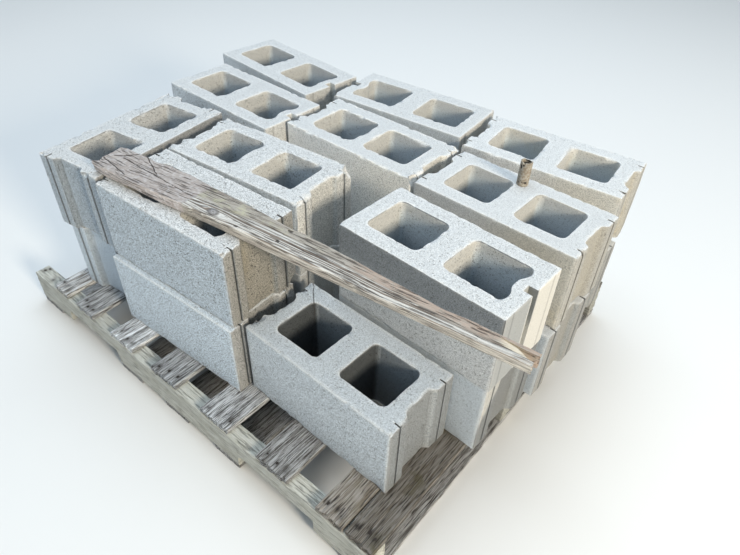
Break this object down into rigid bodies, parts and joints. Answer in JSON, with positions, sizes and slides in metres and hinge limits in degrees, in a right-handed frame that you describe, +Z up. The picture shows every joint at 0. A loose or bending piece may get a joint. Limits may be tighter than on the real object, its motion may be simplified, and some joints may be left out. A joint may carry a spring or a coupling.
{
  "type": "pallet of concrete blocks",
  "caption": "Weathered wooden stringer pallet loaded with two courses of hollow concrete blocks, with a loose plank and a pipe stub on top.",
  "frame": {"origin": "centre of the bounding box, on the floor under the pallet", "axes": "+X along the stringers and most blocks, +Y along the deck boards, +Z up"},
  "size_m": [1.351, 1.016, 0.565],
  "materials": {
    "concrete": "open-textured pale grey concrete",
    "pallet_wood": "weathered grey sawn wood",
    "plank_wood": "weathered wood with raised grain",
    "rusty_steel": "rusty and pitted"
  },
  "bodies": {
    "root": {"stringer_1": "pallet_wood", "stringer_2": "pallet_wood", "stringer_3": "pallet_wood", "top_board_1": "pallet_wood", "top_board_2": "pallet_wood", "top_board_3": "pallet_wood", "top_board_4": "pallet_wood", "top_board_5": "pallet_wood", "top_board_6": "pallet_wood", "top_board_7": "pallet_wood", "top_board_8": "pallet_wood", "bottom_board_1": "pallet_wood", "bottom_board_2": "pallet_wood", "bottom_board_3": "pallet_wood", "bottom_board_4": "pallet_wood", "bottom_board_5": "pallet_wood", "bottom_block_01": "concrete", "bottom_block_02": "concrete", "bottom_block_03": "concrete", "bottom_block_04": "concrete", "bottom_block_05": "concrete", "bottom_block_06": "concrete", "bottom_block_07": "concrete", "bottom_block_08": "concrete", "bottom_block_09": "concrete", "bottom_block_10": "concrete", "bottom_block_11": "concrete", "top_block_01": "concrete", "top_block_02": "concrete", "top_block_03": "concrete", "top_block_04": "concrete", "top_block_05": "concrete", "top_block_06": "concrete", "top_block_07": "concrete", "top_block_08": "concrete", "top_block_09": "concrete", "top_block_10": "concrete", "plank": "plank_wood", "pipe_stub": "rusty_steel"}
  },
  "joints": []
}
